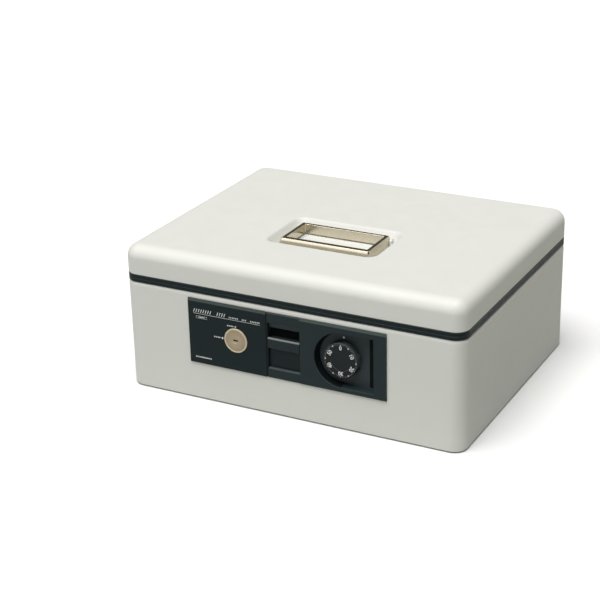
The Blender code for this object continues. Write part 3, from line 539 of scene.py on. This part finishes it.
def build_lid():
    """Pressed lid: one skin from the pocket's floor over the top and round the hem to its underside."""
    hem = 0.0004
    bottom = LID_LOW.z
    outer = pocket_loops(0.0)[::-1] + lid_skin_loops(0.0, bottom + hem)[::-1]
    under = lid_skin_loops(SHEET, bottom + hem) + pocket_loops(SHEET)
    hem_loops = [case_outline(hem * 0.8, bottom), case_outline(SHEET - hem * 0.8, bottom)]
    lid = new_piece("lid_skin", loft(outer + hem_loops + under), MATERIALS["paint"], None)
    notch_height = 0.0027
    cut_with(lid, boxes(*hinge_notches(bottom - SHEET, bottom + notch_height)))
    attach(lid, "lid")
    even_normals(lid)
    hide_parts("lid_shell")


def build_rim():
    """Black frame between body and lid, with a fine shadow groove and its two locating lips."""
    seam = 0.0003
    low, high = BODY_HIGH.z + seam, LID_LOW.z - seam
    edge, groove = 0.0003, 0.0005
    groove_depth = groove * 0.6
    middle = (low + high) / 2
    lip, lip_inside, lower_lip = 0.0018, 0.0033, 0.0015
    section = [
        (edge, low), (0.0, low + edge), (0.0, middle - groove), (groove_depth, middle - groove_depth),
        (groove_depth, middle + groove_depth), (0.0, middle + groove), (0.0, high - edge), (edge, high),
        (lip, high), (lip, BAND_HIGH.z - edge), (lip + edge, BAND_HIGH.z),
        (lip_inside - edge, BAND_HIGH.z), (lip_inside, BAND_HIGH.z - edge), (lip_inside, BAND_LOW.z),
        (lower_lip, BAND_LOW.z), (lower_lip, low),
    ]
    loops = [case_outline(inset, z) for inset, z in section]
    rim = new_piece("rim_skin", loft(loops, ring=True), MATERIALS["black_plastic"], None)
    notch_floor, notch_front = 0.1182, BODY_HIGH.y - 0.0017
    notches = [((start[0], notch_front, start[2]), end) for start, end in hinge_notches(notch_floor, BAND_HIGH.z)]
    cut_with(rim, boxes(*notches))
    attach(rim, "case")
    even_normals(rim)
    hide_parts("rim_frame")


# ---------------------------------------------------------------- handle
def build_handle():
    """Rectangular loop: leaning outer faces, crisp inner edges, mitred corners and a wider bar in front."""
    bar, widening = 0.0052, 0.4
    lean, drop = 0.0017, 0.0046
    edge = 0.0004
    low, high = LOOP_LOW.z, LOOP_HIGH.z
    section = [(edge - r, z) for r, z in arc((0.0, low + edge), edge, -1, 0, 3)]
    section += [
        (0.0, high - drop), (lean - edge / 2, high - edge), (lean, high - edge / 4), (lean + edge, high),
    ]
    section += [(bar - edge - r, z) for r, z in arc((0.0, high - edge), edge, 1, 2, 3)]
    section += [(bar - edge - r, z) for r, z in arc((0.0, low + edge), edge, 2, 3, 3)]
    loops = []
    for inset, height in section:
        extra = widening * max(0.0, inset - lean)
        corner_low = (LOOP_LOW.x + inset, LOOP_LOW.y + inset + extra)
        corner_high = (LOOP_HIGH.x - inset, LOOP_HIGH.y - inset)
        radius = 0.0016 - 0.0010 * inset / bar
        loops.append([(x, y, height) for x, y in rounded_rectangle(corner_low, corner_high, radius, 5)])
    handle = new_piece("handle_skin", loft(loops, ring=True), MATERIALS["nickel"], "handle", 50.0)
    even_normals(handle)
    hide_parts("handle_loop")


# ---------------------------------------------------------------- latch spring
def build_spring():
    """Coil of round wire, at the length of the CAD spring."""
    low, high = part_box("latch_spring")
    wire = 0.0003
    radius = (high.x - low.x) / 2 - wire
    centre = (low + high) / 2
    bottom, top = low.z + wire, high.z - wire
    turns, steps, sides = 7, 20, 8
    up = Vector((0.0, 0.0, 1.0))
    sections = []
    for step in range(turns * steps + 1):
        turn = TAU * step / steps
        height = bottom + (top - bottom) * step / (turns * steps)
        outward = Vector((math.cos(turn), math.sin(turn), 0.0))
        middle = Vector((centre.x, centre.y, height)) + radius * outward
        rounds = [TAU * side / sides for side in range(sides)]
        sections.append([middle + wire * (math.cos(a) * outward + math.sin(a) * up) for a in rounds])
    spring = new_piece("latch_coil", loft(sections), MATERIALS["spring_steel"], "case", 50.0)
    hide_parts("latch_spring")
    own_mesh(spring)


# ---------------------------------------------------------------- key lock
def build_key_face():
    """Turned face with concentric steps, a raised centre and a keyhole slit."""
    front = FACE_LOW.y
    edge = (FACE_HIGH.x - FACE_LOW.x) / 2
    thick, groove = 0.0006, 0.00030
    profile = [(edge, front + thick), (edge, front + 0.0002), (edge - 0.0003, front)]
    for radius in (0.0092, 0.0076, 0.0060, 0.0042):
        profile += [
            (radius + 0.0002, front), (radius + 0.0001, front + groove), (radius - 0.0001, front + groove),
            (radius - 0.0002, front),
        ]
    profile += [(0.0030, front), (0.0027, front + groove * 1.5), (0.0004, front + groove * 1.5)]
    loops = [circle(KEY, radius, place) for radius, place in profile]
    face = new_piece("key_face", loft(loops), MATERIALS["brass"], None)
    cut_with(face, keyhole(front - 0.001, front + 0.0004))
    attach(face, "key")
    even_normals(face)
    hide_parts("key_plug")
    # painted shade: dark plastic at the keyhole's shallow bottom stands in for the shade of a deep keyhole
    dark = keyhole(front + 0.00035, front + 0.00045)
    new_piece("keyhole_shade_floor", dark, MATERIALS["dial_plastic"], "key")


def keyhole(start, end):
    """Box of the keyhole's outline between two places along Y."""
    half, tall = KEYHOLE
    return boxes(((KEY.x - half, start, KEY.z - tall), (KEY.x + half, end, KEY.z + tall)))


# ---------------------------------------------------------------- dial
def build_knob():
    """Dial: finely ribbed skirt, chamfered edge and a flat face with a shallow centre dish."""
    ribs, steps_per_rib = 90, 4
    steps = ribs * steps_per_rib
    front, back = KNOB_LOW.y, KNOB_HIGH.y
    radius = (KNOB_HIGH.x - KNOB_LOW.x) / 2
    rib_depth = 0.00032
    dish, dish_depth = 0.0108, 0.00025

    def ribbed(step):
        return -rib_depth * (0.5 - 0.5 * math.cos(TAU * step / steps_per_rib))

    profile = (
        (radius - 0.0008, back, None), (radius - 0.0002, back - 0.0004, ribbed), (radius, back - 0.0010, ribbed),
        (radius - 0.0001, front + 0.0010, ribbed), (radius - 0.0005, front + 0.0004, ribbed),
        (radius - 0.0009, front, None), (dish, front, None), (dish - 0.0003, front + dish_depth, None),
        (0.0005, front + dish_depth, None),
    )
    loops = [circle(DIAL, reach, place, steps, wobble) for reach, place, wobble in profile]
    knob = new_piece("dial_skin", loft(loops), MATERIALS["dial_plastic"], "dial", 50.0)
    even_normals(knob)
    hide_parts("dial_knob")


def printed(name, outlines, body, place):
    """Thin flat ink shapes facing the front, from outlines of (x, z) points; place is along Y."""
    builder = bmesh.new()
    for outline in outlines:
        back = [builder.verts.new((x, place, z)) for x, z in outline]
        front = [builder.verts.new((x, place - INK_THICKNESS, z)) for x, z in outline]
        builder.faces.new(back)
        builder.faces.new(front)
        for index in range(len(outline)):
            after = (index + 1) % len(outline)
            builder.faces.new((back[index], back[after], front[after], front[index]))
    return new_piece(name, builder, INK, body)


def dot(x, z, radius, steps=16):
    """Outline of a round dot."""
    turns = [TAU * step / steps for step in range(steps)]
    return [(x + radius * math.cos(t), z + radius * math.sin(t)) for t in turns]


def build_dial_marks():
    """A tick at each of 60 divisions, a dot at each odd five, and a number at each ten."""
    divisions = 60
    outer, short_inner, long_inner, dot_radius = 0.01650, 0.01590, 0.01530, 0.00062
    marks = []
    for division in range(divisions):
        turn = TAU / 4 - TAU * division / divisions
        outward = Vector((math.cos(turn), math.sin(turn)))
        across = Vector((-outward.y, outward.x))
        if division % 10 == 5:
            middle = outward * short_inner
            marks.append(dot(DIAL.x + middle.x, DIAL.z + middle.y, dot_radius))
            continue
        inner, half = (long_inner, 0.00022) if division % 10 == 0 else (short_inner, 0.00009)
        corners = ((inner, -half), (outer, -half), (outer, half), (inner, half))
        marks.append([
            (DIAL.x + outward.x * r + across.x * s, DIAL.z + outward.y * r + across.y * s) for r, s in corners
        ])
    printed("dial_ticks", marks, "dial", KNOB_LOW.y)
    for number in range(0, divisions, 10):
        dial_number(number, TAU * number / divisions)


def dial_number(number, turn):
    """One number, upright at the top of the dial and turned with its place on it."""
    ring, thick = 0.0128, 0.00002
    text = bpy.data.curves.new("dial_number_%d" % number, "FONT")
    text.body = str(number)
    text.size = 0.0054
    text.align_x = "CENTER"
    text.align_y = "CENTER"
    text.extrude = thick
    text.offset = 0.00008
    text.materials.append(INK)
    piece = linked("dial_number_%d" % number, text)
    centre = Vector((DIAL.x + ring * math.sin(turn), KNOB_LOW.y - thick, DIAL.z + ring * math.cos(turn)))
    upright = Matrix.Rotation(TAU / 4, 4, "X")
    piece.matrix_world = Matrix.Translation(centre) @ Matrix.Rotation(turn, 4, "Y") @ upright
    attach(piece, "dial")


# ---------------------------------------------------------------- printing on the name plate
def dash(x, z, width, height, slant=0.0):
    """Outline of a bar from its lower left corner; slant is its lean to the right per height."""
    lean = height * slant
    return [(x, z), (x + width, z), (x + width + lean, z + height), (x + lean, z + height)]


def dashes(x, z, count, pitch, width, height, slant=0.0, skip=()):
    """Row of dashes, with gaps where skip says."""
    return [dash(x + index * pitch, z, width, height, slant) for index in range(count) if index not in skip]


def frame_lines(x, z, width, height, line):
    """Four thin bars round a rectangle whose lower left corner is x, z."""
    return [
        dash(x, z, width, line), dash(x, z + height - line, width, line),
        dash(x, z, line, height), dash(x + width - line, z, line, height),
    ]


def build_plate_print():
    """Plain rule, hatching, dashes and dots; no lettering."""
    left = PLATE_LOW.x + 0.0058
    top = PLATE_HIGH.z - 0.0140
    shapes = [dash(left, top - 0.0014, 0.0735, 0.00030)]
    shapes += dashes(left, top, 14, 0.0026, 0.00075, 0.0036, 0.35, (8, 9))
    shapes += dashes(left + 0.0395, top, 19, 0.0018, 0.0008, 0.0015, 0.35, (6, 7, 11, 12))
    shapes += frame_lines(left + 0.0030, top - 0.0062, 0.0120, 0.0026, 0.00022)
    shapes.append(dash(left + 0.0055, top - 0.0052, 0.0070, 0.0007))
    # the key's two positions
    shapes.append(dot(KEY.x + 0.0002, KEY.z + 0.0144, 0.00085))
    shapes.append(dot(KEY.x - 0.0147, KEY.z, 0.00105))
    shapes += dashes(KEY.x - 0.0089, KEY.z + 0.0138, 4, 0.0019, 0.0012, 0.0011)
    shapes += dashes(KEY.x - 0.0240, KEY.z - 0.0005, 4, 0.0019, 0.0012, 0.0011)
    # lower left corner
    shapes += dashes(left + 0.0005, PLATE_LOW.z + 0.0060, 8, 0.0023, 0.0015, 0.0013, 0.3)
    printed("plate_print", shapes, "case", PANEL_FACE)


def build_plate_groove():
    """Dark floor of the groove between the name plate and the lock panel."""
    low = (PLATE_HIGH.x - 0.0002, PANEL_FACE + 0.0007, PLATE_LOW.z + 0.0002)
    high = (PLATE_HIGH.x + 0.0013, PANEL_FACE + 0.0010, PLATE_HIGH.z - 0.0004)
    strip = new_piece("groove_floor", boxes((low, high)), MATERIALS["dial_plastic"], "case")


# ---------------------------------------------------------------- latch bay
def build_bay_felt():
    """Near-black sheet on the latch slider behind the finger gap: painted shade for the dark gap."""
    margin, gap, thick = 0.0002, 0.00002, 0.00018
    back = PANEL_FACE + SLIDER_FACE_DEPTH - gap
    low = (SLIDER_LOW.x + margin, back - thick, GRIP_TOP + margin)
    high = (SLIDER_HIGH.x - margin, back, SLIDER_HIGH.z - 2 * margin)
    piece = new_piece("finger_gap_shade", boxes((low, high)), SHADE_SHEET, "latch")


def bay_bar(name, outline, material, body):
    """Bar across the latch bay; its outline is (depth, height) points."""
    loops = [[(x, PANEL_FACE + depth, z) for depth, z in outline] for x in (SLIDER_LOW.x, SLIDER_HIGH.x)]
    new_piece(name, loft(loops), material, body, 20.0)


def build_bay_edges():
    """Sloping ledge at the bay's top, sill at its bottom, and on the slider an edge painted pale as a highlight
    and a skirt sheet painted dark as shade.
    """
    ledge = [
        (0.0028, BAY_TOP), (0.0036, BAY_TOP - 0.0035), (0.0036, BAY_TOP - 0.0053), (0.0043, BAY_TOP - 0.0059),
        (0.0049, BAY_TOP - 0.0059), (0.0049, BAY_TOP),
    ]
    bay_bar("bay_ledge", ledge, BAY_PLASTIC, "case")
    sill = [
        (0.0006, BAY_BOTTOM), (0.0006, BAY_BOTTOM + 0.0003), (0.0019, BAY_BOTTOM + 0.0013),
        (0.0031, BAY_BOTTOM + 0.0014), (0.0031, BAY_BOTTOM),
    ]
    bay_bar("bay_sill", sill, BAY_PLASTIC, "case")
    # painted highlight: the grip's top edge in a paler plastic
    edge = [
        (0.0001, GRIP_TOP - 0.0014), (0.0001, GRIP_TOP - 0.0009), (0.0010, GRIP_TOP + 0.0001),
        (0.0015, GRIP_TOP + 0.0001), (0.0015, GRIP_TOP - 0.0014),
    ]
    bay_bar("grip_edge_highlight", edge, GRIP_HIGHLIGHT_PLASTIC, "latch")
    # painted shade: dark sheet on the slider's skirt below the grip, where the bay lies in shadow
    front = SKIRT_DEPTH - 0.0001
    skirt = [(SKIRT_DEPTH, SLIDER_LOW.z), (SKIRT_DEPTH, SKIRT_TOP), (front, SKIRT_TOP), (front, SLIDER_LOW.z)]
    bay_bar("slider_skirt_shade", skirt, MATERIALS["black_plastic"], "latch")


# ---------------------------------------------------------------- dial bay
def lining(name, sections, material, hole=None):
    """Thin closed solid through four-cornered sections, with an optional hole cut by a builder's solid."""
    sheet = new_piece(name, loft(sections), material, None, 30.0)
    if hole is not None:
        cut_with(sheet, hole)
    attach(sheet, "case")


def recess_sheet(name, left, right, material, hole=None):
    """Lining of the dial recess's floor between left and right."""
    thick = 0.00006
    columns = 48
    back, front = RECESS_FLOOR, RECESS_FLOOR - thick
    sections = []
    for column in range(columns + 1):
        x = left + (right - left) * column / columns
        away = min(0.0, x - DIAL.x)
        half = math.sqrt(max(RECESS_RADIUS * RECESS_RADIUS - away * away, 0.000001))
        corners = ((back, -half), (back, half), (front, half), (front, -half))
        sections.append([(x, y, DIAL.z + z) for y, z in corners])
    lining(name, sections, material, hole)


def build_recess_floor():
    """Paler floor of the dial recess, open round the dial's shaft, with a dark strip of painted shade along its
    right-hand end.
    """
    left = DIAL.x - 0.0252
    hole_radius = 0.0090
    shaft_hole = loft([circle(DIAL, hole_radius, KNOB_HIGH.y + step) for step in (-0.001, 0.001)])
    recess_sheet("recess_floor", left, SHADE_STRIP_LEFT, BAY_PLASTIC, shaft_hole)
    recess_sheet("recess_shade_strip", SHADE_STRIP_LEFT, SHADE_STRIP_RIGHT, PAINTED_SHADE_PLASTIC)


def build_recess_wall():
    """Dark lining painted as shade on the recess's round left end."""
    front, back = PANEL_FACE + 0.0003, KNOB_HIGH.y + 0.0002
    thick = 0.00008
    start, sweep = 0.9, 2.1  # quarter turns from the right-hand side, anticlockwise
    steps = 48
    corners = (
        (RECESS_MOUTH, front), (RECESS_RADIUS, back), (RECESS_RADIUS - thick, back), (RECESS_MOUTH - thick, front),
    )
    sections = []
    for step in range(steps + 1):
        turn = TAU / 4 * (start + sweep * step / steps)
        sections.append([(DIAL.x + r * math.cos(turn), y, DIAL.z + r * math.sin(turn)) for r, y in corners])
    lining("recess_wall", sections, PAINTED_SHADE_PLASTIC)


def build_index_dot():
    """White index on the dial bay's floor, above the dial."""
    clear = 0.00008
    mark = dot(DIAL.x, DIAL.z + 0.0209, 0.0010)
    printed("index_dot", [mark], "case", RECESS_FLOOR - clear)


# ---------------------------------------------------------------- carried-over nodes
def dress_nodes():
    """Materials and finer edges for every CAD node."""
    slots = {entry["node"]: entry["material_slot"] for entry in frame["record"]["subparts"]}
    for name, node in NODES.items():
        material = OTHER_MATERIALS.get(name, MATERIALS[slots[name]])
        smoothing = CRISP if name in ("lock_panel", "name_plate") else SMOOTH
        dress(node, material, EDGES.get(name, SOFT_EDGE), smoothing)


# ---------------------------------------------------------------- studio
def build_floor():
    """Wide pale floor that runs on to the horizon; the light that it throws back is held down."""
    paint = Paint("floor", FLOOR_SHOWN, 0.85, Specular_IOR_Level=0.1)
    paint.mix_colours(paint.node("LightPath").outputs["Is Camera Ray"], FLOOR_BOUNCE, FLOOR_SHOWN)
    reach, thick = 12.0, 0.02
    slab = boxes(((-reach, -reach, -thick), (reach, reach, 0.0)))
    floor = new_piece("floor", slab, paint.material, None)


def build_card():
    """Grey card flat on the floor to the right; it holds down the light thrown back at the right-hand side."""
    paint = Paint("card", (0.30, 0.30, 0.25), 0.9, Specular_IOR_Level=0.1)
    paint.shade_colour(paint.noise(0.1, 2.0), 0.97, 1.03)
    card = new_piece("card", boxes(((0.23, -0.24, 0.0005), (1.40, 1.20, 0.0010))), paint.material, None)
    card.visible_camera = False
    card.visible_shadow = False
    card.visible_glossy = False


def direction(azimuth, elevation):
    """Unit vector from the object; azimuth turns from the front towards the right."""
    a, e = math.radians(azimuth), math.radians(elevation)
    return Vector((math.sin(a) * math.cos(e), -math.cos(a) * math.cos(e), math.sin(e)))


def new_lamp(name, kind, power, towards):
    """Lamp on the side of the object that towards points to."""
    lamp = linked(name, bpy.data.lights.new(name, kind))
    lamp.data.energy = power
    lamp.rotation_euler = towards.to_track_quat("Z", "Y").to_euler()
    return lamp


def soft_box(name, place, size, power):
    """Square lamp that shows in polished metal and adds nothing to matt surfaces."""
    middle = Vector((0.0, 0.0, 0.15))
    lamp = new_lamp(name, "AREA", power, Vector(place) - middle)
    lamp.location = place
    lamp.data.size = size
    lamp.visible_diffuse = False
    lamp.visible_camera = False


def build_lights():
    """Broad light from above, two lamps for reflections, and a sky that shows brighter than it lights."""
    world = bpy.data.worlds.new("studio")
    world.use_nodes = True
    background = world.node_tree.nodes["Background"]
    background.inputs["Color"].default_value = (1.0, 0.99, 0.96, 1.0)
    seen = world.node_tree.nodes.new("ShaderNodeLightPath").outputs["Is Camera Ray"]
    strength = world.node_tree.nodes.new("ShaderNodeMapRange")
    strength.inputs["To Min"].default_value = SKY_BOUNCE
    strength.inputs["To Max"].default_value = SKY_SHOWN
    world.node_tree.links.new(seen, strength.inputs["Value"])
    world.node_tree.links.new(strength.outputs[0], background.inputs["Strength"])
    bpy.context.scene.world = world
    overhead = new_lamp("overhead", "SUN", 3.80, direction(-10.0, 74.0))
    overhead.data.angle = math.radians(50.0)
    overhead.data.color = (1.0, 0.995, 0.985)
    soft_box("front_box", (-0.68, -1.13, 0.85), 1.2, 8.0)
    soft_box("rear_box", (0.50, 1.00, 0.42), 0.7, 0.9)
    bpy.context.scene.view_settings.view_transform = "Standard"


def build_camera():
    """Three-quarter view from the front right and above."""
    camera = bpy.data.cameras.new("camera")
    camera.lens = 93.48
    camera.sensor_width = 36.0
    camera.clip_start = 0.05
    target = Vector((-0.0449, -0.0268, 0.0714))
    distance, roll = 1.5832, math.radians(-1.44)
    back = direction(28.27, 22.87)
    view = linked("camera", camera)
    view.rotation_mode = "QUATERNION"
    view.location = target + back * distance
    view.rotation_quaternion = (-back).to_track_quat("-Z", "Y") @ Matrix.Rotation(roll, 3, "Z").to_quaternion()
    bpy.context.scene.camera = view


for build in (
    dress_nodes, build_body, build_lid, build_rim, build_handle, build_key_face, build_knob, build_dial_marks,
    build_plate_print, build_index_dot, build_plate_groove, build_bay_felt, build_bay_edges,
    build_recess_floor, build_recess_wall, build_spring,
    build_floor, build_card, build_lights,
    build_camera,
):
    build()
